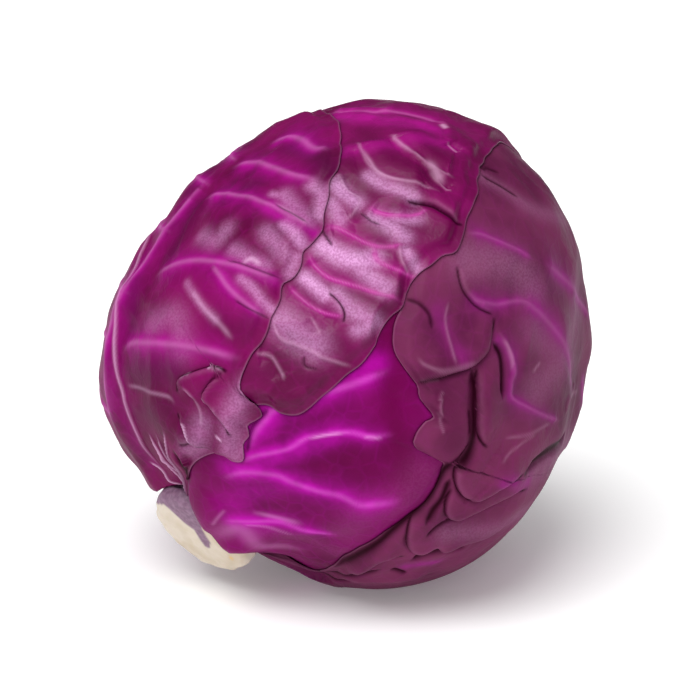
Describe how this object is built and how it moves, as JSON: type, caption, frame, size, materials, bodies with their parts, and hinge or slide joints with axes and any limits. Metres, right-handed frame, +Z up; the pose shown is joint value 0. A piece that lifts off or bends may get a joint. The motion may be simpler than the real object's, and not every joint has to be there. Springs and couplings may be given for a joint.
{
  "type": "red cabbage head",
  "caption": "Red cabbage head lying on its side, with a cut stem and overlapping wrinkled outer leaves; a natural prop for kitchens and market stalls.",
  "frame": {"origin": "middle of the small flat resting spot under the head, straight below its centre of mass", "axes": "+Z up from the surface it lies on; the viewer's side is -Y; the cut stem points down to -X and -Y"},
  "size_m": [0.1608, 0.1598, 0.1598],
  "materials": {
    "stem_flesh": "matt cut cream stem, fibrous",
    "inner_leaf": "pale purple inner leaves, satin",
    "smooth_leaf": "bright magenta leaf, smooth and waxy",
    "outer_leaf": "dull purple leaf with magenta veins, satin",
    "wrinkled_leaf": "wrinkled purple leaf with a glossy wax bloom"
  },
  "bodies": {
    "root": {"stem": "stem_flesh", "inner_head": "inner_leaf", "low_front_leaf": "smooth_leaf", "back_leaf": "outer_leaf", "back_left_leaf": "outer_leaf", "right_leaf": "outer_leaf", "crown_leaf": "wrinkled_leaf", "left_leaf": "outer_leaf"}
  },
  "joints": []
}
